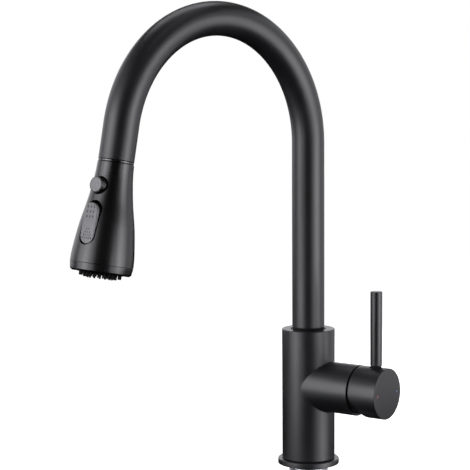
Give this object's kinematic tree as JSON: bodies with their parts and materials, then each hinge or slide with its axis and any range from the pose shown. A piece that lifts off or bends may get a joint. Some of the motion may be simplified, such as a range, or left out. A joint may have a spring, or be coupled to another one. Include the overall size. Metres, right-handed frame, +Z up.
{
  "type": "pull-down kitchen faucet",
  "caption": "Deck-mounted gooseneck kitchen faucet with a swivelling spout, pull-down spray head with pause button and spray rocker, and one side lever.",
  "frame": {"origin": "centre of the base ring's underside, on top of the deck", "axes": "+Z up out of the deck, the spout reaches out along -Y, the handle is on the +X side, turned 10.7 degrees towards +Y; -Z is the deck mount's direction"},
  "size_m": [0.1112, 0.2867, 0.4825],
  "materials": {
    "matte_black": "matte black coating on metal",
    "satin_black": "satin black coat on moulded plastic",
    "button_grey": "dark grey soft-touch pad",
    "rubber": "black rubber",
    "nozzle_silicone": "dark grey silicone",
    "black_plastic": "black acetal plastic",
    "inner_plastic": "natural engineering plastic",
    "ceramic": "polished alumina ceramic",
    "steel": "plain stainless steel",
    "brass": "bare brass",
    "hose_braid": "braided nylon hose cover",
    "hot_red": "red mark",
    "cold_blue": "blue mark"
  },
  "bodies": {
    "faucet_body": {"base_ring": "matte_black", "base_gasket": "rubber", "mounting_shank": "steel", "deck_rubber_washer": "rubber", "deck_steel_washer": "steel", "mounting_nut": "brass", "clamp_screw_1": "steel", "clamp_screw_2": "steel", "hot_inlet_stub": "steel", "cold_inlet_stub": "steel", "mixed_outlet_stub": "steel", "faucet_body": "matte_black", "upper_swivel_bush": "black_plastic", "lower_swivel_bush": "black_plastic", "swivel_set_screw": "steel", "cartridge_housing": "inner_plastic", "hot_port_seal": "rubber", "cold_port_seal": "rubber", "outlet_port_seal": "rubber", "fixed_ceramic_disc": "ceramic", "cartridge_nut": "brass", "dome_cover": "matte_black"},
    "spout": {"spout_tube": "matte_black", "spout_seal_upper": "rubber", "spout_seal_lower": "rubber", "spout_dust_seal": "rubber", "spray_hose": "hose_braid", "dock_guide": "black_plastic", "dock_magnet": "steel"},
    "hose_end": {"hose_ferrule": "steel", "hose_nut": "brass"},
    "spray_head": {"head_shell": "satin_black", "docking_collar": "black_plastic", "dock_strike_ring": "steel", "waterway_core": "black_plastic", "check_valve": "inner_plastic", "flow_plate": "black_plastic", "bezel_ring": "satin_black", "nozzle_mat": "nozzle_silicone", "aerator_core": "nozzle_silicone", "rocker_pin": "steel", "rocker_bracket": "black_plastic"},
    "pause_button": {"pause_button": "button_grey"},
    "spray_rocker": {"spray_rocker": "button_grey"},
    "cartridge_driver": {"lever_driver": "inner_plastic", "driver_pin": "steel"},
    "flow_disc": {"moving_ceramic_disc": "ceramic", "disc_carrier": "inner_plastic"},
    "handle": {"lever_stem": "steel", "handle_hub": "matte_black", "lever_rod": "matte_black", "lever_washer": "rubber", "handle_set_screw": "steel", "hot_mark": "hot_red", "cold_mark": "cold_blue"}
  },
  "joints": [
    {"name": "spout_swivel", "type": "hinge", "parent": "faucet_body", "child": "spout", "pos_m": [0, 0, 0.1], "axis": [0, 0, 1], "continuous": true},
    {"name": "head_pull", "type": "slide", "parent": "spout", "child": "hose_end", "axis": [0, -0.193, -0.9812], "range_m": [0, 0.4], "stiffness_N_per_m": 5, "springref_m": -0.8},
    {"name": "head_turn", "type": "hinge", "parent": "hose_end", "child": "spray_head", "pos_m": [0, -0.21079, 0.27184], "axis": [0, 0.193, 0.9812], "continuous": true},
    {"name": "pause_press", "type": "slide", "parent": "spray_head", "child": "pause_button", "axis": [-0.2079, 0.9598, -0.1888], "range_m": [0, 0.002], "stiffness_N_per_m": 900, "springref_m": -0.001},
    {"name": "rocker_tilt", "type": "hinge", "parent": "spray_head", "child": "spray_rocker", "pos_m": [0.00309, -0.23472, 0.22551], "axis": [0.9781, 0.204, -0.0401], "range_deg": [-11, 0]},
    {"name": "temp_turn", "type": "hinge", "parent": "faucet_body", "child": "cartridge_driver", "pos_m": [0.05109, 0.00967, 0.0698], "axis": [0.9825, 0.186, 0], "range_deg": [-45, 45]},
    {"name": "flow_lift", "type": "hinge", "parent": "cartridge_driver", "child": "handle", "pos_m": [0.05109, 0.00967, 0.0698], "axis": [-0.186, 0.9825, 0], "range_deg": [0, 25]},
    {"name": "disc_slide", "type": "slide", "parent": "cartridge_driver", "child": "flow_disc", "axis": [0, 0, 1], "range_m": [0, 0.0045]}
  ],
  "couplings": [
    {"joint": "disc_slide", "follows": "flow_lift", "m_per_rad": 0.01017}
  ]
}
